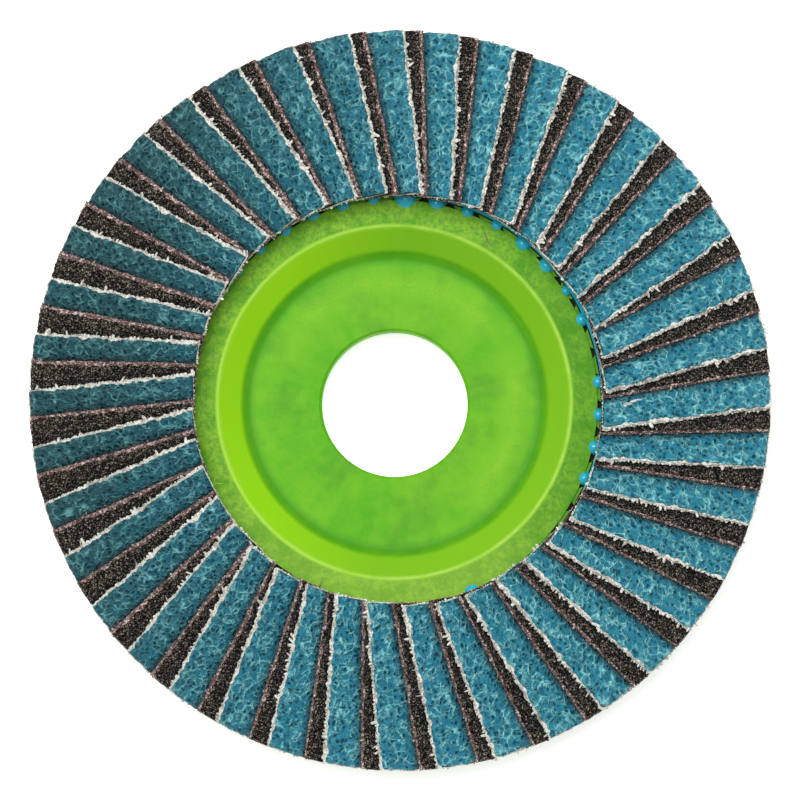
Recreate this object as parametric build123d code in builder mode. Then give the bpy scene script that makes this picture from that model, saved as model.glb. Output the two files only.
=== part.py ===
from build123d import *
from math import asin, atan2, cos, degrees, pi, radians, sin, tan
import os

# Flap disc: a moulded backing plate with forty pairs of coated-cloth flaps glued round it like shingles.
# Millimetres. +Z points to the working side; the origin lies on the bore's axis, in the hub's back face.
# Bearings are degrees clockwise from +Y, seen from the working side. Every flap rises clockwise.

# Hub, clamped between the arbor's flange and the nut
bore_diameter = 22.23
bore_chamfer = 0.4
hub_thickness = 5.0
hub_back_round = 0.8

# Nut recess, the wall that slopes up from it, and the ridge that tops the wall
recess_floor_radius = 22.5
recess_floor_round = 1.5
ridge_radius = 26.8
ridge_height = 9.6
ridge_round = 0.4
wall_thickness = 2.5
hollow_round = 1.0

# Flange: a bare band outside the ridge, a channel that takes the flap roots, and the rim
band_width = 4.0
band_fall = 8.0
channel_depth = 1.8
channel_floor_fall = 5.0
flange_thickness = 2.4
rim_radius = 52.0
rim_round = 0.6

# Dovetail teeth moulded along the channel's inner wall: the gaps between them narrow outward
tooth_count = 48
tooth_length = 0.5
tooth_drop = 0.45
tooth_gap_inner = 1.8
tooth_gap_outer = 1.0
first_gap_bearing = 0.85

# Flaps, a thick blue one and a thin dark one to each pair
flap_pairs = 40
blue_thickness = 1.2
dark_thickness = 0.95
flap_clearance = 0.06
flap_width = 14.0
ring_outer_radius = 56.0
inner_overhang = 0.6
edge_offset = 6.1
inner_end_skew = -5.0
dark_setback = 1.3

# Hand-laid unevenness of the ring: its run-out, how its spacing drifts, and how far edges and ends wander
ring_run_out = 0.67
run_out_bearing = 74.0
first_bearing = -4.9
spacing_drift = 1.15
widest_spacing_bearing = 220.0
sideways_drift = 0.58
sideways_drift_bearing = 90.0
edge_wander_inner = 0.6
edge_wander_outer = 1.0
end_wander_inner = 0.3
end_wander_outer = 0.1
skew_wander = 2.0

# Adhesive: a bed under the roots, and beads squeezed out at the channel's inner wall
bed_thickness = 2.0
bed_margin = 0.7
bed_gap = 0.2
root_sink = 0.6
bead_radius = 0.9
bead_swell = 0.25
largest_bead_radius = 1.5
largest_bead_pair = 1
bead_sink = 0.75
bead_neck = 0.8
bead_pairs = (0, 1, 2, 3, 4, 5, 6, 7, 8, 10, 11, 12, 13, 18, 31, 32, 35, 36, 37, 38, 39)

# Thin flaps share their nodes, a few neighbours to each
dark_flaps_per_node = 4

# Worked out from the sizes above
pair_pitch = 360 / flap_pairs
band_slope = tan(radians(band_fall))
channel_radius = ridge_radius + band_width
channel_edge_height = ridge_height - band_width * band_slope
channel_floor_height = channel_edge_height - channel_depth
wall_angle = atan2(ridge_height - hub_thickness, ridge_radius - recess_floor_radius)
bed_radius = channel_radius + tooth_length + bed_gap
ring_centre = Vector(
    ring_run_out * sin(radians(run_out_bearing)), ring_run_out * cos(radians(run_out_bearing)), 0
)
inner_reach = channel_radius - inner_overhang
outer_reach = (ring_outer_radius**2 - edge_offset**2) ** 0.5
closest_pitch = radians(pair_pitch) * (1 - radians(spacing_drift) - sideways_drift / inner_reach)


def channel_floor(radius):
    """Height of the channel's floor at a radius."""
    return channel_floor_height - (radius - channel_radius) * tan(radians(channel_floor_fall))


def wander(count, turn):
    """A number between -1 and 1 that changes unevenly from one flap to the next."""
    return sin(turn * (count + 1)) * cos(1.7 * turn * count + turn)


def pair_bearing(pair):
    """Bearing of a pair of flaps; pairs crowd on one side of the ring and spread on the other."""
    even = pair * pair_pitch
    return first_bearing + even + spacing_drift * cos(radians(even - widest_spacing_bearing))


def outward(bearing):
    """Level direction from the axis out along a bearing."""
    return Vector(sin(radians(bearing)), cos(radians(bearing)), 0)


def flap_lean(reach):
    """Slope of the flaps at a distance from the axis, where each lies on the next."""
    pair_thickness = blue_thickness + dark_thickness + 2 * flap_clearance
    return degrees(asin(pair_thickness / (reach * closest_pitch)))


def edge_height(reach):
    """Height of a thick flap's free edge when its root just sinks into the adhesive."""
    lean = radians(flap_lean(reach))
    root_height = channel_floor(reach) + bed_thickness - root_sink
    return root_height + flap_width * sin(lean) + blue_thickness * cos(lean)


def make_flap(bearing, thickness, inner_width, outer_width, turn, pair):
    """One flap: a sheet ruled between its two ends, whose roots stay in line with the other flaps'."""
    drift = sideways_drift * cos(radians(bearing - sideways_drift_bearing))
    ends = (
        (inner_reach + end_wander_inner * (1 + wander(pair, turn)), edge_offset + drift, inner_width),
        (outer_reach + end_wander_outer * wander(pair, turn + 1), edge_offset, outer_width),
    )
    skews = (inner_end_skew + skew_wander * wander(pair, turn + 2), skew_wander * wander(pair, turn + 3))
    with BuildPart() as sheet:
        for (reach, offset, width), skew in zip(ends, skews):
            lean = flap_lean(reach)
            end_line = outward(bearing + 90 - skew)
            up_slope = end_line * cos(radians(lean)) + Vector(0, 0, sin(radians(lean)))
            free_corner = (
                ring_centre
                + outward(bearing) * reach
                + outward(bearing + 90) * offset
                + Vector(0, 0, edge_height(reach))
                + up_slope * (width - flap_width)
            )
            with BuildSketch(Plane(free_corner, x_dir=end_line, z_dir=end_line.cross(Vector(0, 0, 1)))):
                Rectangle(width, thickness, rotation=lean, align=Align.MAX)
        loft(ruled=True)
    return sheet.part


def make_blue_flap(pair):
    """Thick flap of a pair."""
    inner_width = flap_width + edge_wander_inner * wander(pair, 0.69)
    outer_width = flap_width + edge_wander_outer * wander(pair, 9.37)
    return make_flap(pair_bearing(pair), blue_thickness, inner_width, outer_width, 1.9, pair)


def make_dark_flap(pair):
    """Thin flap of a pair: it lies under the thick one, and its free edge stands further back."""
    share = (blue_thickness + flap_clearance) / (blue_thickness + dark_thickness + 2 * flap_clearance)
    spacing = pair_bearing(pair + 1) - pair_bearing(pair)
    bearing = pair_bearing(pair) + share * spacing
    inner_width = flap_width - dark_setback + edge_wander_inner * wander(pair, 8.04)
    outer_width = flap_width - dark_setback + edge_wander_outer * wander(pair, 9.18)
    return make_flap(bearing, dark_thickness, inner_width, outer_width, 2.1, pair)


def circle_at(radius, height):
    """Selector for the circular edge of a radius at a height."""
    return lambda edge: (
        edge.geom_type == GeomType.CIRCLE
        and abs(edge.radius - radius) < 1e-4
        and abs(edge.arc_center.Z - height) < 1e-4
    )


# Tooth: a dovetail that widens outward, its top a little below the bare band's edge
tooth_half_pitch = pi / tooth_count
tooth_reach = channel_radius + tooth_length
tooth_root_half = channel_radius * tooth_half_pitch - tooth_gap_inner / 2
tooth_tip_half = tooth_reach * tooth_half_pitch - tooth_gap_outer / 2
tooth_back_half = tooth_root_half - (tooth_tip_half - tooth_root_half)
with BuildPart() as tooth:
    with BuildSketch(Plane.XY.offset(channel_floor_height - tooth_length)):
        with BuildLine():
            Polyline(
                (channel_radius - tooth_length, -tooth_back_half),
                (tooth_reach, -tooth_tip_half),
                (tooth_reach, tooth_tip_half),
                (channel_radius - tooth_length, tooth_back_half),
                close=True,
            )
        make_face()
    extrude(amount=channel_depth + tooth_length - tooth_drop)

# Backing plate: its section turned round the bore's axis, then the teeth. The back of the sloping wall
# runs parallel to its front, down to the hub's back face and up to the back of the flange.
flank_radius = recess_floor_radius + wall_thickness * sin(wall_angle)
flank_height = hub_thickness - wall_thickness * cos(wall_angle)
hub_back_radius = flank_radius - flank_height / tan(wall_angle)
floor_slope = tan(radians(channel_floor_fall))
flange_back_height = channel_floor(hub_back_radius) - flange_thickness
flank_run = flange_back_height / (tan(wall_angle) + floor_slope)
hollow_radius = hub_back_radius + flank_run
hollow_height = flank_run * tan(wall_angle)
rim_height = channel_floor(rim_radius)
with BuildPart() as backing_plate:
    with BuildSketch(Plane.XZ):
        with BuildLine():
            Polyline(
                (bore_diameter / 2, 0),
                (hub_back_radius, 0),
                (hollow_radius, hollow_height),
                (rim_radius, rim_height - flange_thickness),
                (rim_radius, rim_height),
                (channel_radius, channel_floor_height),
                (channel_radius, channel_edge_height),
                (ridge_radius, ridge_height),
                (recess_floor_radius, hub_thickness),
                (bore_diameter / 2, hub_thickness),
                close=True,
            )
        make_face()
    revolve(axis=Axis.Z)
    fillet(backing_plate.edges().filter_by(circle_at(recess_floor_radius, hub_thickness)), recess_floor_round)
    fillet(backing_plate.edges().filter_by(circle_at(ridge_radius, ridge_height)), ridge_round)
    fillet(backing_plate.edges().filter_by(circle_at(hub_back_radius, 0)), hub_back_round)
    fillet(backing_plate.edges().filter_by(circle_at(hollow_radius, hollow_height)), hollow_round)
    fillet(backing_plate.edges().filter_by(circle_at(rim_radius, rim_height)), rim_round)
    fillet(backing_plate.edges().filter_by(circle_at(rim_radius, rim_height - flange_thickness)), rim_round)
    chamfer(backing_plate.edges().filter_by(circle_at(bore_diameter / 2, 0)), bore_chamfer)
    chamfer(backing_plate.edges().filter_by(circle_at(bore_diameter / 2, hub_thickness)), bore_chamfer)
    with PolarLocations(0, tooth_count, start_angle=90 - first_gap_bearing - 180 / tooth_count):
        add(tooth.part)

# Flaps
blue_flaps = [make_blue_flap(pair) for pair in range(flap_pairs)]
dark_flaps = [make_dark_flap(pair) for pair in range(flap_pairs)]

# Adhesive: the bed and its beads, shaped by the plate below it and by the flap roots pressed into it
with BuildPart() as adhesive_bed:
    with BuildSketch(Plane.XZ):
        with BuildLine():
            Polyline(
                (bed_radius, channel_floor(bed_radius)),
                (rim_radius - bed_margin, channel_floor(rim_radius - bed_margin)),
                (rim_radius - bed_margin, channel_floor(rim_radius - bed_margin) + bed_thickness),
                (bed_radius, channel_floor(bed_radius) + bed_thickness),
                close=True,
            )
        make_face()
    revolve(axis=Axis.Z)
    for pair in bead_pairs:
        radius = bead_radius + bead_swell * wander(pair, 2.9)
        if pair == largest_bead_pair:
            radius = largest_bead_radius
        bead_spot = outward(pair_bearing(pair)) * (channel_radius + tooth_length / 2)
        with Locations(bead_spot + Vector(0, 0, channel_edge_height - bead_sink * radius)):
            Sphere(radius * (1 + bead_sink**2) ** 0.5)
        with Locations(bead_spot + Vector(0, 0, channel_edge_height)):
            Cylinder(bead_neck * radius, channel_depth, align=(Align.CENTER, Align.CENTER, Align.MAX))
    add(backing_plate.part, mode=Mode.SUBTRACT)
    add(blue_flaps + dark_flaps, mode=Mode.SUBTRACT)

os.makedirs("parts", exist_ok=True)

backing_plate.part.label = "backing_plate"
export_step(backing_plate.part, "parts/backing_plate.step")

adhesive_bed.part.label = "adhesive_bed"
export_step(adhesive_bed.part, "parts/adhesive_bed.step")

for pair, sheet in enumerate(blue_flaps):
    sheet.label = f"blue_flap_{pair + 1:02d}"
    export_step(sheet, f"parts/{sheet.label}.step")

for first in range(0, flap_pairs, dark_flaps_per_node):
    with BuildPart() as dark_group:
        add(dark_flaps[first : first + dark_flaps_per_node])
    dark_group.part.label = f"dark_flaps_{first // dark_flaps_per_node + 1:02d}"
    export_step(dark_group.part, f"parts/{dark_group.part.label}.step")
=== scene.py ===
import math
from collections import namedtuple

import bmesh
import bpy
import numpy as np
from bpy.props import FloatProperty, FloatVectorProperty, PointerProperty
from mathutils import Matrix, Vector, noise


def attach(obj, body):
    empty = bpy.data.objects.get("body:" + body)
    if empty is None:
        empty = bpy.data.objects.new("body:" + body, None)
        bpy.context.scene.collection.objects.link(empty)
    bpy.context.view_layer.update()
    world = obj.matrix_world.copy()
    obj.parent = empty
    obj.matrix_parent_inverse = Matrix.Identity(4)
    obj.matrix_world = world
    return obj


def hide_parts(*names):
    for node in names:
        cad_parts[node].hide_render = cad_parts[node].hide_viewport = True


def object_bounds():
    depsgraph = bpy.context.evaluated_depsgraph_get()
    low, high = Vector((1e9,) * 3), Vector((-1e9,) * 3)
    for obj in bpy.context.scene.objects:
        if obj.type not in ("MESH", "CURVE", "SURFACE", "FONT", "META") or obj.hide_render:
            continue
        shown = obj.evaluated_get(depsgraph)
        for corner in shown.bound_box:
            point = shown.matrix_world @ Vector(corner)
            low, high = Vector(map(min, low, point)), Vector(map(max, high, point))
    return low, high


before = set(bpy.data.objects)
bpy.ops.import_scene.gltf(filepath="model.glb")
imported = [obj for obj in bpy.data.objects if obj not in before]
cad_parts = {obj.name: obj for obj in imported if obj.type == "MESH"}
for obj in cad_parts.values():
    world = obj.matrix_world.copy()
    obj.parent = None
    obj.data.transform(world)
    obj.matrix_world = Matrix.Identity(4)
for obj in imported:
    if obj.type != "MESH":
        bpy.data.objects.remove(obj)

bl_info = {
    "name": "Flap disc",
    "version": (1, 0, 0),
    "blender": (4, 5, 0),
    "location": "View3D > Sidebar > Flap disc",
    "description": "Dresses the flap disc's solids: abrasive flaps, adhesive, moulded plate and studio",
    "category": "Object",
}

CAD_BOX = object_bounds()
MM = 0.001
BODY = "root"
BLUE_NODES = sorted(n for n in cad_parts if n.startswith("blue_flap"))
DARK_NODES = sorted(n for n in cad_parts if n.startswith("dark_flaps"))

# How far back a free edge runs from the solid's: at the inner end and the outer end, how much the outer end's
# changes round the ring and toward which bearing it is most, and how wavy the edge is.
Edge = namedtuple("Edge", "inner outer swing toward wave")
BLUE_EDGE = Edge(-0.12 * MM, -0.12 * MM, 0.0, 0.0, 0.16 * MM)
DARK_EDGE = Edge(0.45 * MM, 0.1 * MM, 0.55 * MM, math.radians(300), 0.12 * MM)

# How far the coat stops short of the free edge and of both ends, and how ragged that is.
Margins = namedtuple("Margins", "free end rag")
BLUE_MARGINS = Margins(0.13 * MM, 0.18 * MM, 0.42 * MM)
DARK_END_MARGIN = 0.16 * MM
DARK_RAG = 0.34 * MM
DARK_MARGIN = 0.3 * MM
DARK_MARGIN_SWING = 0.15 * MM
WIDEST_DARK_MARGIN = math.radians(310)
NARROWEST_MARGIN = 0.03 * MM
INNER_MARGIN_SHARE = 1.6

# The ring of flaps is dressed to one circle, a little off the solids' own.
RIM_SHIFT = np.array([0.15, 0.2]) * MM
RIM_GROWTH = 0.27 * MM
MOST_CUT = 0.6 * MM
MOST_ADDED = 0.7 * MM
RIM_WAVE = 0.05 * MM

# The coat's face: how far it lies below the solid's, how its edges roll off, and where its relief fades out.
COAT_DROP = 0.1 * MM
EDGE_ROLL = 0.12 * MM
EDGE_ROLL_WIDTH = 0.35 * MM
RELIEF_FADE = 1.2 * MM
CLOTH_OVERLAP = 0.02 * MM
# How far out from the next flap's edge the painted shade on a coat reaches.
PAINTED_SHADE_REACH = 1.35 * MM
SHARP_ANGLE = math.radians(62)

# The cut cloth: how jagged its face is, how far its yarns reach, and how they clump, stray and part.
BLUE_JAG, BLUE_FRAY = 0.36 * MM, 0.5 * MM
DARK_JAG, DARK_FRAY = 0.12 * MM, 0.3 * MM
DARK_YARN_SHARE = 0.8
CLUMP_PITCH = 2.1 * MM
GAP_LEVEL = -0.5
LOOSE_FROM, LOOSE_YARN = 0.91, 0.9
BLUE_DRAWS, DARK_DRAWS = 11, 23

KEY_PLACE, KEY_SIZE = (-0.13, 0.24, 1.08), 0.6
FLOOR_SIZE = 3.0

# The plate's features, as radii and heights in millimetres.
# Painted reflection: a pale ring on the recess floor around this radius, strongest toward the upper right.
SHEEN_RADIUS, SHEEN_HALF_WIDTH = 18.4, 3.2
# Painted shade along the crease at this radius.
CREASE_RADIUS, CREASE_HALF_WIDTH = 22.3, 1.3
# Painted light: the plate is painted lighter from the wall's start outward.
WALL_START, WALL_FULL = 22.9, 23.6
RIDGE_TOP_RADIUS, RIDGE_HALF_WIDTH = 26.75, 0.45
BAND_START, BAND_FULL = 26.9, 27.3
# The channel under the flaps and the gaps between its teeth, bounded by these radii and heights, get painted
# shade.
CHANNEL_START, CHANNEL_FULL = 30.7, 30.85
CHANNEL_FADE, CHANNEL_END = 33.0, 33.5
CHANNEL_LOW, CHANNEL_FLOOR = 5.6, 6.2
CHANNEL_TOP, CHANNEL_EDGE = 8.0, 8.5

# Marks of use, each as x, y, bearing in degrees, half length and half width, in millimetres.
SCUFF = (35.9, -0.4, 69.0, 2.0, 0.26)
WISPS = ((13.9, 25.2, 165.0, 1.3, 0.13), (14.6, 24.0, 120.0, 0.7, 0.1), (-11.3, -27.8, 25.0, 0.9, 0.14))
SCRATCHES = ((-27.3, -12.0, 20.0, 1.1, 0.08), (-26.7, -12.4, 75.0, 0.8, 0.07), (21.5, 22.0, 140.0, 1.4, 0.07))


# ---------------------------------------------------------------- settings

def length_mm(name, description, default):
    """A size of a few millimetres or less, in metres."""
    return FloatProperty(name=name, description=description, default=default * MM, unit="LENGTH", precision=5)


def colour(name, description, default):
    """A colour, linear."""
    return FloatVectorProperty(name=name, description=description, default=default, subtype="COLOR", size=3)


class DISC_PG_flaps(bpy.types.PropertyGroup):
    """Sizes of what a flap is made of."""

    mesh_step: length_mm("Mesh step", "Spacing of the points on a flap's bare strip", 0.21)
    hidden_step: length_mm("Hidden step", "Spacing of the points under the next flap", 2.0)
    bare_blue: length_mm("Bare blue strip", "Width of a thick flap that the next one leaves bare", 6.7)
    bare_dark: length_mm("Bare dark strip", "Width of a thin flap that the next one leaves bare", 4.4)
    coat_blue: length_mm("Blue coat", "Depth of grain and resin on the thick cloth", 0.46)
    coat_dark: length_mm("Dark coat", "Depth of grain and resin on the thin cloth", 0.4)
    blue_grain: length_mm("Blue grain", "Size of the lumps in the blue coat", 0.62)
    dark_grain: length_mm("Dark grain", "Size of the lumps in the dark coat", 0.42)
    blue_relief: length_mm("Blue relief", "Height of the lumps in the blue coat", 0.24)
    dark_relief: length_mm("Dark relief", "Height of the lumps in the dark coat", 0.28)
    yarn_pitch: length_mm("Yarn pitch", "Spacing of the yarn ends along a cut edge", 0.56)
    yarn_width: length_mm("Yarn width", "Width of one yarn end", 0.34)


class DISC_PG_colours(bpy.types.PropertyGroup):
    """Colours of the finishes."""

    blue_deep: colour("Blue, deep", "Pits of the blue coat", (0.001, 0.012, 0.022))
    blue_mid: colour("Blue, middle", "Body of the blue coat", (0.005, 0.215, 0.325))
    # Painted shade: the coat's body toward the disc's left.
    blue_shaded: colour("Blue, shaded", "Body of the blue coat in painted shade", (0.002, 0.072, 0.09))
    # Pale resin ridges, partly painted highlight.
    blue_light: colour("Blue, light", "Resin ridges of the blue coat, with painted highlights", (0.32, 0.84, 0.86))
    dark_deep: colour("Dark, deep", "Resin between the dark grains", (0.003, 0.0025, 0.0025))
    dark_mid: colour("Dark, middle", "Brown grains of the dark coat", (0.062, 0.052, 0.04))
    dark_light: colour("Dark, flecks", "Bare grains in the dark coat", (0.5, 0.43, 0.35))
    cream: colour("Cream cloth", "Cloth of the thick flaps", (0.9, 0.89, 0.81))
    cream_shade: colour("Cream cloth, shaded", "Hollows of the thick cloth", (0.2, 0.16, 0.12))
    red: colour("Red cloth", "Cloth of the thin flaps", (0.17, 0.09, 0.08))
    red_shade: colour("Red cloth, shaded", "Hollows of the thin cloth", (0.045, 0.014, 0.012))
    red_light: colour("Red cloth, worn", "Worn fibre ends of the thin cloth", (0.76, 0.62, 0.57))
    green: colour("Green plastic", "Body of the plate", (0.078, 0.39, 0.002))
    # Lighter tone in random places of the plate; also the painted light on the wall and the painted sheen on
    # the floor.
    green_light: colour("Green plastic, light", "Lighter places of the plate, with its painted light and sheen", (0.235, 0.53, 0.02))
    # Painted light on the wall toward the disc's left.
    green_painted_light: colour("Green plastic, bright", "Painted light on the wall's left side", (0.34, 0.72, 0.012))
    # Also the painted light on the band toward the disc's bottom.
    green_pale: colour("Green plastic, pale", "Rubbed top of the ridge", (0.4, 0.66, 0.09))
    green_dull: colour("Green plastic, dull", "Matte band of the plate", (0.1, 0.29, 0.03))
    # Painted shade in the crease and on the band toward the disc's right; also the tone of random stains and
    # patches.
    green_deep: colour("Green plastic, deep", "Corners where light is lost", (0.055, 0.27, 0.012))
    # Painted shade: darkens each coat at the foot of the next flap's edge.
    dust_and_shade: colour("Painted shade", "Grinding dust under the flaps' edges", (0.002, 0.008, 0.012))
    # Grime speckles on the plate; also the painted shade in the channel under the flaps.
    grime_and_shade: colour("Grime and shade", "Grinding dust caught on the plate", (0.03, 0.025, 0.015))
    teal: colour("Adhesive", "Set adhesive", (0.008, 0.35, 0.48))


class DISC_PG_studio(bpy.types.PropertyGroup):
    """Camera, floor and lights."""

    view_width: FloatProperty(name="View width", description="Width of floor in view, at the flaps' height",
                              default=0.1211, unit="LENGTH", precision=4)
    distance: FloatProperty(name="Camera distance", description="From the flaps to the camera",
                            default=1.2, unit="LENGTH")
    lean_back: FloatProperty(name="Lean", description="How far the camera stands below the disc's axis",
                             default=math.radians(3.6), subtype="ANGLE")
    lean_side: FloatProperty(name="Side lean", description="How far the camera stands right of the axis",
                             default=math.radians(0.5), subtype="ANGLE")
    key_power: FloatProperty(name="Key light", description="Power of the soft light overhead",
                             default=11.0, unit="POWER")
    sky: FloatProperty(name="Surrounding light", description="Strength of the white surroundings",
                       default=0.42)
    floor_white: FloatProperty(name="Floor", description="How white the floor is", default=0.9)
    floor_glow: FloatProperty(name="Floor glow", description="Light given off by the floor's own lit panel",
                              default=0.55)


# ---------------------------------------------------------------- meshes

class Shells:
    """Points and faces of several closed shells, gathered for one mesh."""

    def __init__(self):
        self.points = []
        self.faces = []
        self.slots = []
        self.dust_and_shade = []
        self.count = 0

    def add(self, points, faces, slot, dust_and_shade):
        """Takes one shell's points, faces by index, material slot and how much painted shade it has at each
        point.
        """
        self.points.append(points)
        self.faces += [[self.count + i for i in face] for face in faces]
        self.slots += [slot] * len(faces)
        self.dust_and_shade.append(np.broadcast_to(dust_and_shade, len(points)))
        self.count += len(points)

    def add_loft(self, loops, slot, dust_and_shade=0.0):
        """A closed shell through loops of points: loops[i, k] is point k of loop i."""
        rows, around = loops.shape[:2]
        index = np.arange(rows * around).reshape(rows, around)
        turned = np.roll(index, -1, axis=1)
        quads = np.stack([index[:-1], turned[:-1], turned[1:], index[1:]], axis=-1).reshape(-1, 4)
        caps = [index[0][::-1].tolist(), index[-1].tolist()]
        self.add(loops.reshape(-1, 3), quads.tolist() + caps, slot, dust_and_shade)

    def build(self, name, materials):
        """The finished mesh object, with normals pointing out and smooth shading."""
        mesh = bpy.data.meshes.new(name)
        mesh.from_pydata(np.concatenate(self.points).tolist(), [], self.faces)
        mesh.polygons.foreach_set("material_index", self.slots)
        mesh.attributes.new("dust_and_shade", "FLOAT", "POINT").data.foreach_set("value", np.concatenate(self.dust_and_shade))
        tidy = bmesh.new()
        tidy.from_mesh(mesh)
        bmesh.ops.recalc_face_normals(tidy, faces=tidy.faces)
        tidy.to_mesh(mesh)
        tidy.free()
        mesh.polygons.foreach_set("use_smooth", [True] * len(mesh.polygons))
        mesh.set_sharp_from_angle(angle=SHARP_ANGLE)
        for material in materials:
            mesh.materials.append(material)
        piece = bpy.data.objects.new(name, mesh)
        bpy.context.scene.collection.objects.link(piece)
        return piece


# ---------------------------------------------------------------- flaps, read from the solids

def touching_groups(mesh, faces):
    """Points of the faces, gathered by faces that share corners."""
    groups = []
    for face in faces:
        points = {tuple(round(c, 7) for c in mesh.vertices[i].co) for i in face.vertices}
        for group in [g for g in groups if g & points]:
            groups.remove(group)
            points |= group
        groups.append(points)
    return [np.array(sorted(group)) for group in groups]


def end_corners(points):
    """Corners of a flap's end face: [grain side or cloth side, free or root]."""
    free_top = points[points[:, 2].argmax()]
    root_low = points[points[:, 2].argmin()]
    out = points.mean(axis=0) * (1, 1, 0)
    side = np.cross(root_low - free_top, points - free_top) @ out
    ends = sorted((points[side.argmin()], points[side.argmax()]), key=lambda p: np.linalg.norm(p - root_low))
    root_top, free_low = ends
    return np.array([[free_top, root_top], [free_low, root_low]])


def flap_corners(node):
    """Eight corners of each flap in a CAD node: [inner or outer end, grain or cloth side, free or root]."""
    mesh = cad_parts[node].data
    ends = ([], [])
    for face in mesh.polygons:
        out = Vector((face.center.x, face.center.y, 0)).normalized()
        facing = face.normal.dot(out)
        if abs(facing) > 0.9:
            ends[facing > 0].append(face)
    inner, outer = (touching_groups(mesh, faces) for faces in ends)
    first = math.atan2(inner[0][:, 0].mean(), inner[0][:, 1].mean())

    def turn(points):
        bearing = math.atan2(points[:, 0].mean(), points[:, 1].mean())
        return (bearing - first + math.pi) % (2 * math.pi)

    pairs = zip(sorted(inner, key=turn), sorted(outer, key=turn))
    return [np.array([end_corners(a), end_corners(b)]) for a, b in pairs]


def outer_ring():
    """Centre and radius of the circle through the thick flaps' outer free corners."""
    tips = np.array([flap_corners(node)[0][1, 0, 0][:2] for node in BLUE_NODES])
    terms = np.column_stack([2 * tips, np.ones(len(tips))])
    x, y, rest = np.linalg.lstsq(terms, (tips**2).sum(axis=1), rcond=None)[0]
    return np.array([x, y]) + RIM_SHIFT, math.sqrt(rest + x * x + y * y)


class Sheet:
    """A flap's body. Places on it are given along from the inner end, across from the free edge, and down
    from the grain face, in metres."""

    def __init__(self, node, corners, seed, ring, worn):
        self.node = node
        self.worn = worn
        self.corners = corners
        self.seed = seed
        self.ring = ring
        inner, outer = corners
        self.length = np.linalg.norm(outer[0, 0] - inner[0, 0])
        self.width = sum(np.linalg.norm(end[0, 1] - end[0, 0]) for end in (inner, outer)) / 2
        self.depth = np.linalg.norm(inner[1, 0] - inner[0, 0])
        self.bearing = math.atan2(corners[:, 0, 0, 0].mean(), corners[:, 0, 0, 1].mean())

    def edge(self, along):
        """How far back the free edge runs at each place along it."""
        worn = self.worn
        share = along / self.length
        outer = worn.outer + worn.swing * math.cos(self.bearing - worn.toward)
        return (1 - share) * worn.inner + share * outer + worn.wave * hum(along, 4.5 * MM, self.seed + 0.9)

    def shade_under_cover(self, points):
        """Painted shade where the next flap's edge stands over this one: 1 at its foot, 0 further out."""
        along = np.array([0.0, self.cover.length])
        start, end = self.cover.at(along, self.cover.edge(along), np.full(2, self.cover.depth))[:, :2]
        line = (end - start) / np.linalg.norm(end - start)
        away = (points[:, :2] - start) @ np.array([line[1], -line[0]])
        return np.clip(1 - away / PAINTED_SHADE_REACH, 0, 1) ** 1.2

    def tip(self, across):
        """Where the sheet ends at the rim, dressed to the ring's circle."""
        centre, radius = self.ring
        straight = self.at(np.full(across.shape, self.length), across, np.zeros(across.shape))
        short = radius - np.linalg.norm(straight[:, :2] - centre, axis=1)
        short = np.clip(short + RIM_GROWTH, -MOST_CUT, MOST_ADDED)
        return self.length + short + RIM_WAVE * hum(across, 2.0 * MM, self.seed)

    def at(self, along, across, down):
        """Points in the row frame."""
        along, across, down = np.broadcast_arrays(along / self.length, across / self.width, down / self.depth)
        weights = [(1 - part, part) for part in (along[..., None], across[..., None], down[..., None])]
        return sum(
            weights[0][end] * weights[2][side] * weights[1][edge] * self.corners[end, side, edge]
            for end in (0, 1) for side in (0, 1) for edge in (0, 1)
        )


def laid_sheets():
    """Every flap in the order they are laid, clockwise, each with the one that laps over it."""
    ring = outer_ring()
    sheets = []
    for node in BLUE_NODES + DARK_NODES:
        worn = BLUE_EDGE if node in BLUE_NODES else DARK_EDGE
        sheets += [Sheet(node, corners, len(sheets) + i + 1.0, ring, worn)
                   for i, corners in enumerate(flap_corners(node))]
    sheets.sort(key=lambda sheet: sheet.bearing % (2 * math.pi))
    for cover, sheet in zip(sheets[-1:] + sheets[:-1], sheets):
        sheet.cover = cover
    return sheets


def hum(values, pitch, seed):
    """Smooth noise between about -1 and 1 along a line, one wave to each pitch."""
    return np.array([noise.noise(Vector((v / pitch, 7.3 * seed, 0.5))) for v in values])


def lumps(along, across, size, seed):
    """Relief of packed grains, 0 in the hollows to 1 on the peaks."""
    relief = []
    for x, y in zip(along.ravel() / size, across.ravel() / size):
        place = Vector((x, y, 3.7 * seed))
        near, far = noise.voronoi(place)[0][:2]
        relief.append(0.75 * max(0.0, 1 - 1.25 * near) + 0.5 * noise.noise(place * 2.3) * (far - near))
    return np.array(relief).reshape(along.shape)


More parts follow.
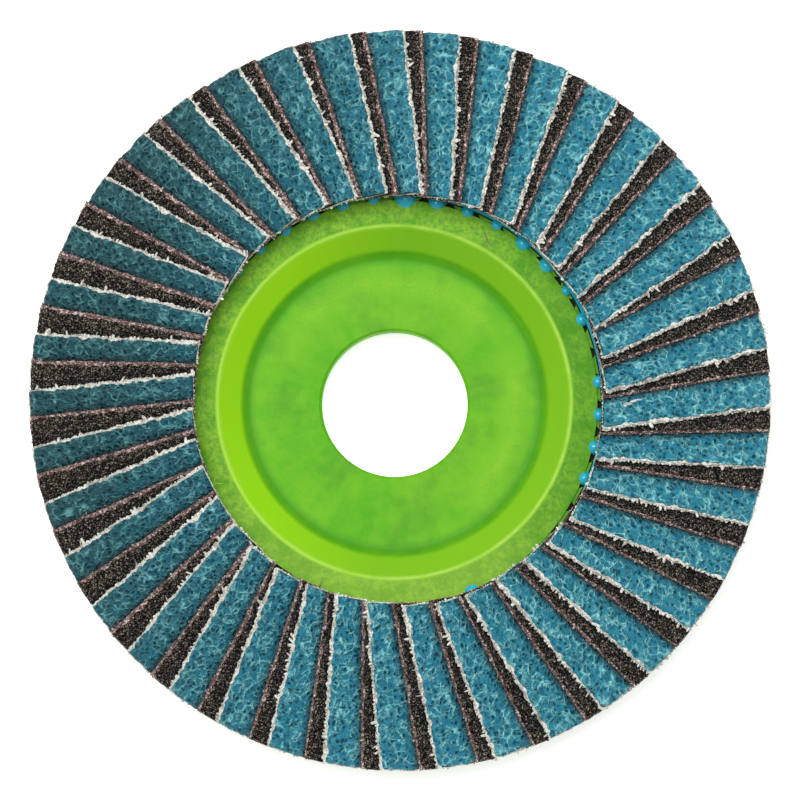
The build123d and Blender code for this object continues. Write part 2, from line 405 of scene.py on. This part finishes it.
def coat_loops(sheet, bare, step, hidden_step, coat, grain, relief, margins):
    """The layer of grain and resin: ragged at its edges, lumpy on its bare strip."""
    rag = margins.rag
    along = np.linspace(0, sheet.length, int(sheet.length / step) + 1)
    across = np.concatenate([
        np.arange(0, bare, step),
        np.arange(bare, sheet.width - hidden_step, hidden_step),
        [sheet.width],
    ])
    long_rag = hum(along, 1.7 * MM, sheet.seed)
    short_rag = hum(along, 0.5 * MM, sheet.seed + 0.3)
    free = sheet.edge(along) + np.maximum(margins.free + rag * (long_rag + 0.9 * short_rag), NARROWEST_MARGIN)
    inner = INNER_MARGIN_SHARE * margins.end + 0.7 * rag * hum(across, 0.6 * MM, sheet.seed + 0.5)
    outer = margins.end + 0.6 * rag * hum(across, 0.6 * MM, sheet.seed + 0.8)
    inner, outer = np.maximum(inner, NARROWEST_MARGIN), np.maximum(outer, NARROWEST_MARGIN)
    share = (along / sheet.length)[:, None]
    x = inner[None, :] + share * (sheet.tip(across) - inner - outer)[None, :]
    y = free[:, None] + across[None, :] * (sheet.width - free[:, None]) / sheet.width
    shown = np.clip((bare - across) / RELIEF_FADE, 0, 1)[None, :]
    edge = np.minimum.reduce([
        np.broadcast_to(across[None, :], x.shape),
        np.broadcast_to(along[:, None], x.shape),
        np.broadcast_to((sheet.length - along)[:, None], x.shape),
    ])
    roll_off = EDGE_ROLL * np.clip(1 - edge / EDGE_ROLL_WIDTH, 0, 1) ** 2
    down = COAT_DROP + roll_off - relief * shown * lumps(x, y, grain, sheet.seed)
    top = sheet.at(x, y, down)
    low_root = sheet.at(x[:, -1:], y[:, -1:], np.full((len(along), 1), coat))
    low_free = sheet.at(x[:, :1], y[:, :1], np.full((len(along), 1), coat))
    return np.concatenate([top, low_root, low_free], axis=1)


def cloth_loops(sheet, step, coat, jag, seed):
    """The woven backing, with a ragged cut face along its free edge."""
    along = np.linspace(0, sheet.length, int(sheet.length / step) + 1)
    levels = (coat - CLOTH_OVERLAP, (coat + sheet.depth) / 2, sheet.depth)
    start = sheet.edge(along)
    fronts = [jag * hum(along, pitch * MM, seed + 0.1 * n) for n, pitch in enumerate((0.45, 0.35, 0.5))]
    loop = [(start + front, level) for front, level in zip(fronts, levels)]
    loop += [(np.full(len(along), sheet.width), levels[2]), (np.full(len(along), sheet.width), levels[0])]
    loop += [(np.full(len(along), place * MM), levels[0]) for place in (2.0, 0.8)]
    share = along / sheet.length
    loops = []
    for number, (across, level) in enumerate(loop):
        worn = 0.1 * MM * (1 + noise.noise(Vector((number, 2.9 * seed, 0.5))))
        x = worn + share * (sheet.tip(across[-1:])[0] - worn)
        loops.append(sheet.at(x, across, np.full(len(x), level)))
    return np.stack(loops, axis=1)


def yarn_loops(sheet, start, heading, length, width, height):
    """One frayed yarn end: start and heading are (along, across, down) on the sheet."""
    heading = np.array(heading) / np.linalg.norm(heading)
    flank = np.array([-heading[1], heading[0], 0])
    loops = []
    for part, thick in ((0, 1), (0.6, 1), (1, 0.6)):
        centre = np.array(start) + heading * length * part
        ring = [centre + flank * width * thick * a / 2 + np.array([0, 0, height * thick * b / 2])
                for a, b in ((-1, 0), (0, -1), (1, 0), (0, 1))]
        loops.append(sheet.at(*np.array(ring).T))
    return np.array(loops)


def fray(shells, sheet, pitch, width, reach, coat, bare, slot):
    """Yarn ends along the free edge and on the bare part of both ends, in clumps with gaps between them."""
    room = sheet.depth - coat
    places = np.arange(0.3 * pitch, sheet.length, pitch)
    spots = [(x, y + 0.1 * MM, (0, -1)) for x, y in zip(places, sheet.edge(places))]
    ends = np.arange(0.5 * pitch, bare, 0.8 * pitch)
    spots += [(0.15 * MM, y, (-1, 0)) for y in ends]
    spots += [(x - 0.15 * MM, y, (1, 0)) for x, y in zip(sheet.tip(ends), ends)]
    for x, y, (out_x, out_y) in spots:
        a, b, c = noise.random_vector(), noise.random_vector(), noise.random()
        clump = 1.6 * noise.noise(Vector(((x + y) / CLUMP_PITCH, 5.1 * sheet.seed, out_x)))
        if clump < GAP_LEVEL:
            continue
        loose = LOOSE_YARN if c > LOOSE_FROM else 0.0
        length = reach * (0.35 + 0.45 * c + 0.7 * max(0.0, clump) + loose)
        length *= 1 if out_y else 0.3 + 0.35 * abs(a.z) - 0.02 * out_x
        height = room * (0.5 + 0.2 * b.x)
        stray = 0.3 * pitch * a.x
        depth = coat + room / 2 + (room - height) * 0.5 * a.y
        start = (x + stray * abs(out_y), y + stray * abs(out_x), depth)
        heading = (out_x + 0.6 * b.y * abs(out_y), out_y + 0.6 * b.y * abs(out_x), 0.0)
        thickness = width * (0.6 + 0.9 * abs(b.z))
        shells.add_loft(yarn_loops(sheet, start, heading, length, thickness, height), slot)


# ---------------------------------------------------------------- materials

class Finish:
    """A material and short ways to add nodes to it."""

    def __init__(self, name):
        self.material = bpy.data.materials.new(name)
        self.material.use_nodes = True
        self.tree = self.material.node_tree
        self.shader = self.tree.nodes["Principled BSDF"]
        self.place = self.node("ShaderNodeVectorMath", operation="SCALE",
                               inputs={0: self.node("ShaderNodeTexCoord").outputs["Object"], "Scale": 1 / MM})

    def node(self, kind, inputs=None, **settings):
        """Adds a node; inputs maps a socket to a value or to another node's output."""
        made = self.tree.nodes.new(kind)
        for key, value in settings.items():
            setattr(made, key, value)
        for socket, value in (inputs or {}).items():
            self.feed(made.inputs[socket], value)
        return made

    def feed(self, socket, value):
        """Links an output to a socket, or sets the socket's value."""
        if isinstance(value, bpy.types.NodeSocket):
            self.tree.links.new(value, socket)
        else:
            socket.default_value = value

    def speckle(self, scale, detail=2.0, rough=0.5, place=None):
        """Noise from 0 to 1, in features of 1 / scale millimetres."""
        place = place or self.place.outputs[0]
        inputs = {"Vector": place, "Scale": scale, "Detail": detail, "Roughness": rough}
        return self.node("ShaderNodeTexNoise", inputs).outputs[0]

    def cells(self, scale, place, feature="F1", output="Distance"):
        """Packed cells 1 / scale millimetres apart: distance from a centre or edge, or a shade to each."""
        made = self.node("ShaderNodeTexVoronoi", {"Vector": place, "Scale": scale}, feature=feature)
        return made.outputs[output]

    def vector(self, operation, first, second):
        """One sum of two vectors, itself a vector."""
        return self.node("ShaderNodeVectorMath", {0: first, 1: second}, operation=operation).outputs[0]

    def warped(self, scale, reach):
        """The place, pushed about by up to reach millimetres."""
        place = self.place.outputs[0]
        push = self.node("ShaderNodeTexNoise", {"Vector": place, "Scale": scale, "Detail": 0.5}).outputs[1]
        centred = self.vector("SUBTRACT", push, (0.5, 0.5, 0.5))
        return self.vector("ADD", place, self.vector("MULTIPLY", centred, (2 * reach,) * 3))

    def toward(self, bearing, low, high):
        """0 to 1 across the disc toward a bearing, between two distances from the axis in millimetres."""
        aim = (math.sin(math.radians(bearing)), math.cos(math.radians(bearing)), 0)
        reach = self.node("ShaderNodeVectorMath", {0: self.place.outputs[0], 1: aim}, operation="DOT_PRODUCT")
        return self.spread(reach.outputs["Value"], low, high)

    def streak(self, x, y, bearing, reach, width):
        """1 inside a rough streak centred at x, y and lying along a bearing, 0 outside it, in millimetres."""
        aim = (math.sin(math.radians(bearing)), math.cos(math.radians(bearing)))
        away = self.vector("SUBTRACT", self.warped(1.4, 0.3), (x, y, 0))
        squares = []
        for axis in ((aim[0] / reach, aim[1] / reach, 0), (aim[1] / width, -aim[0] / width, 0)):
            part = self.node("ShaderNodeVectorMath", {0: away, 1: axis}, operation="DOT_PRODUCT")
            squares.append(self.sums("MULTIPLY", part.outputs["Value"], part.outputs["Value"]))
        return self.spread(self.sums("ADD", *squares), 0.5, 1.0, 1.0, 0.0)

    def with_painted_shade(self, skin, dust_and_shade, share):
        """The skin, darkened with painted shade where the mesh's points carry it."""
        caught = self.node("ShaderNodeAttribute", attribute_name="dust_and_shade").outputs["Fac"]
        uneven = self.spread(self.speckle(1.2), 0.3, 0.6, 0.75, 1.0)
        return self.blend(self.sums("MULTIPLY", self.sums("MULTIPLY", caught, uneven), share), skin, dust_and_shade)

    def sums(self, operation, first, second):
        """One sum of two numbers."""
        return self.node("ShaderNodeMath", {0: first, 1: second}, operation=operation).outputs[0]

    def spread(self, value, low, high, to_low=0.0, to_high=1.0):
        """Maps low..high to to_low..to_high, held at both ends."""
        inputs = {"Value": value, "From Min": low, "From Max": high, "To Min": to_low, "To Max": to_high}
        return self.node("ShaderNodeMapRange", inputs).outputs[0]

    def blend(self, share, first, second):
        """Mixes two colours."""
        mixer = self.node("ShaderNodeMix", data_type="RGBA")
        for socket, value in ((mixer.inputs[0], share), (mixer.inputs[6], first), (mixer.inputs[7], second)):
            if isinstance(value, bpy.types.NodeSocket) or isinstance(value, float):
                self.feed(socket, value)
            else:
                socket.default_value = (*value, 1.0)
        return mixer.outputs[2]

    def bump(self, height, depth, strength=1.0):
        """Relief too fine for the mesh, depth in millimetres."""
        made = self.node("ShaderNodeBump", {"Height": height, "Distance": depth * MM, "Strength": strength})
        self.tree.links.new(made.outputs[0], self.shader.inputs["Normal"])

    def set(self, **values):
        """Sets or links the shader's own sockets."""
        for name, value in values.items():
            socket = self.shader.inputs[name.replace("_", " ").title().replace("Ior", "IOR")]
            self.feed(socket, value)


def blue_finish(tints):
    """Blue resin over coarse grain: dark pits ringed by a network of pale ridges, partly the resin's own tone
    and partly painted highlight; painted shade toward the disc's left and at the foot of the next flap's
    edge.
    """
    finish = Finish("blue grain")
    bent = finish.warped(0.8, 0.5)
    wide = finish.spread(finish.cells(0.7, bent, "DISTANCE_TO_EDGE"), 0.02, 0.16, 1.0, 0.0)
    fine = finish.spread(finish.cells(1.3, bent, "DISTANCE_TO_EDGE"), 0.02, 0.18, 1.0, 0.0)
    wide = finish.sums("MULTIPLY", wide, finish.spread(finish.speckle(0.6, 1.0), 0.46, 0.58, 0.05, 1.0))
    fine = finish.sums("MULTIPLY", fine, finish.spread(finish.speckle(0.9, 1.0), 0.5, 0.6, 0.0, 0.75))
    # Pale ridges: partly the resin's own tone, partly painted highlight.
    ridges = finish.sums("MAXIMUM", wide, fine)
    ridges = finish.sums("MULTIPLY", ridges, finish.spread(finish.speckle(1.7, 2.0), 0.36, 0.52, 0.35, 1.0))
    pits = finish.spread(finish.cells(1.3, bent), 0.02, 0.4)
    body = finish.sums("MULTIPLY", pits, finish.spread(finish.speckle(1.6, 2.0), 0.35, 0.6, 0.55, 1.0))
    # Painted shade: the coat darker, with fewer pale ridges, toward the disc's left.
    left_shade = finish.toward(285, 0.0, 42.0)
    shaded_body = finish.blend(left_shade, tints.blue_mid, tints.blue_shaded)
    skin = finish.blend(body, tints.blue_deep, shaded_body)
    skin = finish.blend(finish.sums("MULTIPLY", ridges, finish.spread(left_shade, 0.0, 1.0, 0.82, 0.36)),
                        skin, tints.blue_light)
    scuff = finish.sums("MULTIPLY", finish.streak(*SCUFF), finish.spread(finish.speckle(2.6), 0.35, 0.5))
    skin = finish.blend(scuff, skin, tints.cream)
    roughness = finish.spread(ridges, 0.0, 1.0, 0.36, 0.26)
    # Painted shade on the coat at the foot of the next flap's edge.
    finish.set(base_color=finish.with_painted_shade(skin, tints.dust_and_shade, 0.9), roughness=roughness)
    finish.shader.inputs["Specular IOR Level"].default_value = 0.4
    fine_relief = finish.sums("MULTIPLY", finish.speckle(4.0, 3.0), 0.8)
    relief = finish.sums("ADD", finish.sums("ADD", ridges, pits), fine_relief)
    finish.bump(relief, 0.34, 1.0)
    return finish.material


def dark_finish(tints):
    """Bare brown and beige grains in near-black resin."""
    finish = Finish("dark grain")
    bent = finish.warped(2.0, 0.12)
    shade = finish.node("ShaderNodeSeparateColor", {0: finish.cells(3.3, bent, "F1", "Color")}).outputs[0]
    near = finish.spread(finish.cells(3.3, bent), 0.2, 0.6, 1.0, 0.0)
    brown = finish.blend(finish.sums("MULTIPLY", near, finish.spread(shade, 0.2, 0.5)),
                         tints.dark_deep, tints.dark_mid)
    fleck = finish.sums("MULTIPLY", near, finish.spread(shade, 0.62, 0.85))
    fleck = finish.sums("MULTIPLY", fleck, finish.spread(finish.speckle(1.8, 3.0), 0.36, 0.56, 0.15, 1.0))
    chips = finish.spread(finish.speckle(4.6, 3.0, 0.7), 0.58, 0.64, 0.0, 0.75)
    skin = finish.blend(finish.sums("MAXIMUM", fleck, chips), brown, tints.dark_light)
    # Painted shade on the coat at the foot of the next flap's edge.
    finish.set(base_color=finish.with_painted_shade(skin, tints.dust_and_shade, 0.6), roughness=0.7)
    finish.shader.inputs["Specular IOR Level"].default_value = 0.1
    finish.bump(finish.sums("ADD", near, finish.speckle(6.0, 3.0)), 0.18, 1.0)
    return finish.material


def cloth_finish(name, light, shade, worn):
    """Cut cotton cloth: fibres run light and dark, and some ends are worn pale."""
    finish = Finish(name)
    fibres = finish.spread(finish.speckle(3.4, 4.0, 0.7), 0.34, 0.54)
    stained = finish.spread(finish.speckle(0.7, 3.0, 0.6), 0.34, 0.52, 0.35, 1.0)
    fibres = finish.blend(finish.sums("MULTIPLY", fibres, stained), shade, light)
    ends = finish.sums("MULTIPLY", finish.spread(finish.speckle(2.6, 4.0, 0.75), 0.52, 0.58), stained)
    finish.set(base_color=finish.blend(ends, fibres, worn), roughness=0.9)
    finish.bump(finish.speckle(7.0, 3.0, 0.7), 0.1, 1.0)
    return finish.material


def plastic_finish(tints):
    """Moulded green plastic: cloudy in the recess, pale on the ridge, matte on the band outside it; with
    painted sheen on the floor, painted light on the wall and band, and painted shade in the crease, channel
    and band.
    """
    finish = Finish("green plastic")
    place = finish.place.outputs[0]
    flat = finish.vector("MULTIPLY", place, (1, 1, 0))
    radius = finish.node("ShaderNodeVectorMath", {0: flat}, operation="LENGTH").outputs["Value"]
    height = finish.node("ShaderNodeSeparateXYZ", {0: place}).outputs["Z"]
    heading = finish.node("ShaderNodeVectorMath", {0: flat}, operation="NORMALIZE").outputs[0]

    def ring(middle, half_width):
        """1 on a circle about the axis, 0 half_width away from it."""
        away = finish.sums("ABSOLUTE", finish.sums("SUBTRACT", radius, middle), 0.0)
        return finish.spread(away, 0.0, half_width, 1.0, 0.0)

    cloud = finish.spread(finish.speckle(0.1, 5.0, 0.6), 0.38, 0.62)
    flow = finish.spread(finish.speckle(9.0, 3.0, 0.6, heading), 0.4, 0.62)
    grain = finish.spread(finish.speckle(2.4, 4.0, 0.7), 0.35, 0.62)
    patches = finish.spread(finish.speckle(0.045, 3.0, 0.5), 0.42, 0.56)
    skin = finish.blend(finish.sums("MULTIPLY", cloud, 0.4), tints.green, tints.green_light)
    mottle = finish.spread(finish.speckle(0.35, 4.0, 0.65), 0.42, 0.62)
    skin = finish.blend(finish.sums("MULTIPLY", mottle, 0.22), skin, tints.green_light)
    shadowy = finish.spread(finish.speckle(0.16, 4.0, 0.6), 0.5, 0.66, 0.0, 0.5)
    skin = finish.blend(shadowy, skin, tints.green_deep)
    skin = finish.blend(finish.sums("MULTIPLY", flow, 0.14), skin, tints.green_light)
    # Painted reflection: a pale ring on the recess floor, toward the upper right, broken up by grain.
    painted_sheen = finish.sums("MULTIPLY", ring(SHEEN_RADIUS, SHEEN_HALF_WIDTH), finish.toward(37, -8.0, 2.0))
    uneven = finish.spread(finish.sums("MULTIPLY", grain, patches), 0.0, 1.0, 0.35, 1.0)
    painted_sheen = finish.sums("MULTIPLY", painted_sheen, uneven)
    skin = finish.blend(finish.sums("MULTIPLY", painted_sheen, 0.8), skin, tints.green_light)
    # Painted light: the wall painted lighter all round, and brighter still toward the disc's left.
    wall = finish.spread(radius, WALL_START, WALL_FULL)
    skin = finish.blend(finish.sums("MULTIPLY", wall, 0.9), skin, tints.green_light)
    lit = finish.sums("MULTIPLY", wall, finish.toward(275, 0.0, 18.0))
    skin = finish.blend(finish.sums("MULTIPLY", lit, 0.85), skin, tints.green_painted_light)
    # Painted shade in the crease between the floor and the wall.
    crease = finish.sums("MULTIPLY", ring(CREASE_RADIUS, CREASE_HALF_WIDTH), 0.75)
    skin = finish.blend(crease, skin, tints.green_deep)
    band = finish.spread(radius, BAND_START, BAND_FULL)
    weave = finish.spread(finish.speckle(1.1, 5.0, 0.75), 0.42, 0.6)
    dull = finish.blend(finish.sums("MULTIPLY", weave, 0.8), tints.green_dull, tints.green_light)
    dull = finish.blend(finish.sums("MULTIPLY", grain, 0.3), dull, tints.green_pale)
    stains = finish.spread(finish.speckle(0.22, 4.0, 0.6), 0.46, 0.62, 0.0, 0.6)
    dull = finish.blend(stains, dull, tints.green_deep)
    # Painted shade: the band darker toward the disc's right.
    dull = finish.blend(finish.sums("MULTIPLY", finish.toward(85, 14.0, 26.0), 0.4), dull, tints.green_deep)
    # Painted light: the band lighter toward the disc's bottom.
    dull = finish.blend(finish.sums("MULTIPLY", finish.toward(185, 12.0, 27.0), 0.3), dull, tints.green_pale)
    skin = finish.blend(band, skin, dull)
    worn_through = finish.spread(finish.speckle(0.35, 3.0), 0.3, 0.55, 0.45, 1.0)
    rubbed = finish.sums("MULTIPLY", ring(RIDGE_TOP_RADIUS, RIDGE_HALF_WIDTH), worn_through)
    skin = finish.blend(rubbed, skin, tints.green_pale)
    # Grime speckles over the plate.
    dust_and_shade = finish.spread(finish.speckle(1.15, 5.0, 0.75), 0.7, 0.76)
    skin = finish.blend(finish.sums("MULTIPLY", dust_and_shade, 0.8), skin, tints.grime_and_shade)
    for scratch in SCRATCHES:
        skin = finish.blend(finish.sums("MULTIPLY", finish.streak(*scratch), 0.8), skin, tints.green_pale)
    for wisp in WISPS:
        skin = finish.blend(finish.sums("MULTIPLY", finish.streak(*wisp), 0.9), skin, tints.red)
    # Painted shade: the channel under the flaps and the gaps between its teeth take the grime colour.
    inside = finish.spread(radius, CHANNEL_START, CHANNEL_FULL)
    outside = finish.spread(radius, CHANNEL_FADE, CHANNEL_END, 1.0, 0.0)
    above = finish.spread(height, CHANNEL_LOW, CHANNEL_FLOOR)
    below = finish.spread(height, CHANNEL_TOP, CHANNEL_EDGE, 0.94, 0.0)
    channel = finish.sums("MULTIPLY", finish.sums("MULTIPLY", inside, outside),
                          finish.sums("MULTIPLY", above, below))
    skin = finish.blend(channel, skin, tints.grime_and_shade)
    finish.set(base_color=skin, roughness=finish.spread(band, 0.0, 1.0, 0.45, 0.65))
    finish.shader.inputs["Specular IOR Level"].default_value = 0.1
    finish.shader.inputs["Subsurface Weight"].default_value = 0.15
    finish.shader.inputs["Subsurface Radius"].default_value = (1.0, 1.6, 0.4)
    finish.shader.inputs["Subsurface Scale"].default_value = 1.2 * MM
    fine = finish.sums("MULTIPLY", finish.speckle(3.2, 4.0, 0.65), finish.spread(band, 0.0, 1.0, 0.25, 1.0))
    finish.bump(fine, 0.09, 0.8)
    return finish.material


def adhesive_finish(tints):
    """Set adhesive, glossy and slightly milky."""
    finish = Finish("teal adhesive")
    milky = tuple(min(1.0, 1.25 * c + 0.02) for c in tints.teal)
    finish.set(base_color=finish.blend(finish.spread(finish.speckle(0.8), 0.3, 0.7), tints.teal, milky),
               roughness=0.22)
    finish.bump(finish.speckle(1.1), 0.05, 0.4)
    return finish.material


# ---------------------------------------------------------------- operators

def refinish(node, material):
    """Gives a CAD node its material."""
    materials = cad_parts[node].data.materials
    materials.clear()
    materials.append(material)


def lay(sheet, shells, bare, coat, grain, relief, margins, jag, yarn, reach, sizes):
    """Adds one flap to the shells: its coat, its cloth and the cloth's frayed yarns."""
    loops = coat_loops(sheet, bare, sizes.mesh_step, sizes.hidden_step, coat, grain, relief, margins)
    shells.add_loft(loops, 0, sheet.shade_under_cover(loops.reshape(-1, 3)))
    shells.add_loft(cloth_loops(sheet, sizes.mesh_step, coat, jag, sheet.seed), 1)
    fray(shells, sheet, sizes.yarn_pitch, yarn, reach, coat, bare, 1)


def hand_over(piece, node):
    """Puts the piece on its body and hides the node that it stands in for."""
    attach(piece, BODY)
    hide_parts(node)


class DISC_OT_plate(bpy.types.Operator):
    """Finish the moulded backing plate"""

    bl_idname = "disc.plate"
    bl_label = "Backing plate"

    def execute(self, context):
        refinish("backing_plate", plastic_finish(context.scene.disc_colours))
        return {"FINISHED"}


class DISC_OT_adhesive(bpy.types.Operator):
    """Finish the adhesive bed and its beads"""

    bl_idname = "disc.adhesive"
    bl_label = "Adhesive"

    def execute(self, context):
        refinish("adhesive_bed", adhesive_finish(context.scene.disc_colours))
        return {"FINISHED"}


class DISC_OT_blue_flaps(bpy.types.Operator):
    """Build the thick flaps: cream cloth under coarse blue grain"""

    bl_idname = "disc.blue_flaps"
    bl_label = "Blue flaps"

    def execute(self, context):
        sizes, tints = context.scene.disc_flaps, context.scene.disc_colours
        coat = blue_finish(tints)
        cloth = cloth_finish("cream cloth", tints.cream, tints.cream_shade, tints.cream)
        sheets = laid_sheets()
        noise.seed_set(BLUE_DRAWS)
        for node in BLUE_NODES:
            shells = Shells()
            for sheet in (sheet for sheet in sheets if sheet.node == node):
                lay(sheet, shells, sizes.bare_blue, sizes.coat_blue, sizes.blue_grain, sizes.blue_relief,
                    BLUE_MARGINS, BLUE_JAG, sizes.yarn_width, BLUE_FRAY, sizes)
            piece = shells.build(node.replace("flap", "sheet"), (coat, cloth))
            hand_over(piece, node)
        return {"FINISHED"}


class DISC_OT_dark_flaps(bpy.types.Operator):
    """Build the thin flaps: reddish cloth under brown-black grain"""

    bl_idname = "disc.dark_flaps"
    bl_label = "Dark flaps"

    def execute(self, context):
        sizes, tints = context.scene.disc_flaps, context.scene.disc_colours
        coat = dark_finish(tints)
        cloth = cloth_finish("red cloth", tints.red, tints.red_shade, tints.red_light)
        sheets = laid_sheets()
        noise.seed_set(DARK_DRAWS)
        for node in DARK_NODES:
            shells = Shells()
            for sheet in (sheet for sheet in sheets if sheet.node == node):
                swing = DARK_MARGIN_SWING * math.cos(sheet.bearing - WIDEST_DARK_MARGIN)
                margins = Margins(DARK_MARGIN + swing, DARK_END_MARGIN, DARK_RAG)
                lay(sheet, shells, sizes.bare_dark, sizes.coat_dark, sizes.dark_grain, sizes.dark_relief,
                    margins, DARK_JAG, DARK_YARN_SHARE * sizes.yarn_width, DARK_FRAY, sizes)
            piece = shells.build(node.replace("flaps", "sheets"), (coat, cloth))
            hand_over(piece, node)
        return {"FINISHED"}


def soft_light(name, place, target, size, power):
    """A square soft light facing a point."""
    lamp = bpy.data.lights.new(name, "AREA")
    lamp.size = size
    lamp.energy = power
    holder = bpy.data.objects.new(name, lamp)
    holder.location = place
    holder.rotation_euler = (Vector(target) - Vector(place)).to_track_quat("-Z", "Y").to_euler()
    bpy.context.scene.collection.objects.link(holder)


class DISC_OT_stage(bpy.types.Operator):
    """Set up the floor, lights and camera"""

    bl_idname = "disc.stage"
    bl_label = "Studio"

    def execute(self, context):
        scene, studio = context.scene, context.scene.disc_studio
        scene.view_settings.view_transform = "Standard"

        bpy.ops.mesh.primitive_grid_add(x_subdivisions=8, y_subdivisions=8, size=FLOOR_SIZE)
        floor = context.object
        floor.name = "studio_floor"
        paint = Finish("floor")
        paint.set(roughness=0.9)
        paint.shader.inputs["Base Color"].default_value = (*[studio.floor_white] * 3, 1)
        paint.shader.inputs["Emission Color"].default_value = (1, 1, 1, 1)
        paint.set(emission_strength=studio.floor_glow)
        floor.data.materials.append(paint.material)

        world = bpy.data.worlds.new("studio")
        world.use_nodes = True
        world.node_tree.nodes["Background"].inputs["Color"].default_value = (1, 1, 1, 1)
        world.node_tree.nodes["Background"].inputs["Strength"].default_value = studio.sky
        scene.world = world

        low, high = (Vector(corner) for corner in CAD_BOX)
        target = Vector(((low.x + high.x) / 2, (low.y + high.y) / 2, 0.7 * high.z))
        soft_light("key_light", KEY_PLACE, target, KEY_SIZE, studio.key_power)

        lens = bpy.data.cameras.new("camera")
        lens.sensor_width = 36.0
        lens.lens = lens.sensor_width * studio.distance / studio.view_width
        lens.clip_start = 0.05
        camera = bpy.data.objects.new("camera", lens)
        direction = Vector((math.tan(studio.lean_side), -math.tan(studio.lean_back), 1)).normalized()
        camera.location = target + direction * studio.distance
        right = Vector((0, 1, 0)).cross(direction).normalized()
        camera.rotation_euler = Matrix((right, direction.cross(right), direction)).transposed().to_euler()
        scene.collection.objects.link(camera)
        scene.camera = camera
        return {"FINISHED"}


class DISC_PT_panel(bpy.types.Panel):
    """The flap disc's pieces and settings"""

    bl_idname = "DISC_PT_panel"
    bl_label = "Flap disc"
    bl_space_type = "VIEW_3D"
    bl_region_type = "UI"
    bl_category = "Flap disc"

    def draw(self, context):
        for maker in OPERATORS:
            self.layout.operator(maker.bl_idname)
        for group in (context.scene.disc_flaps, context.scene.disc_colours, context.scene.disc_studio):
            box = self.layout.box()
            for name in group.bl_rna.properties.keys():
                if name not in ("rna_type", "name"):
                    box.prop(group, name)


OPERATORS = (DISC_OT_stage, DISC_OT_plate, DISC_OT_adhesive, DISC_OT_blue_flaps, DISC_OT_dark_flaps)
SETTINGS = {"disc_flaps": DISC_PG_flaps, "disc_colours": DISC_PG_colours, "disc_studio": DISC_PG_studio}


def register():
    """Adds the classes and the scene's settings."""
    for item in (*SETTINGS.values(), *OPERATORS, DISC_PT_panel):
        bpy.utils.register_class(item)
    for name, group in SETTINGS.items():
        setattr(bpy.types.Scene, name, PointerProperty(type=group))


def unregister():
    """Takes them away again."""
    for name in SETTINGS:
        delattr(bpy.types.Scene, name)
    for item in reversed((*SETTINGS.values(), *OPERATORS, DISC_PT_panel)):
        bpy.utils.unregister_class(item)


def main():
    """Builds everything."""
    register()
    bpy.ops.disc.stage()
    bpy.ops.disc.plate()
    bpy.ops.disc.adhesive()
    bpy.ops.disc.blue_flaps()
    bpy.ops.disc.dark_flaps()


if __name__ == "__main__":
    main()
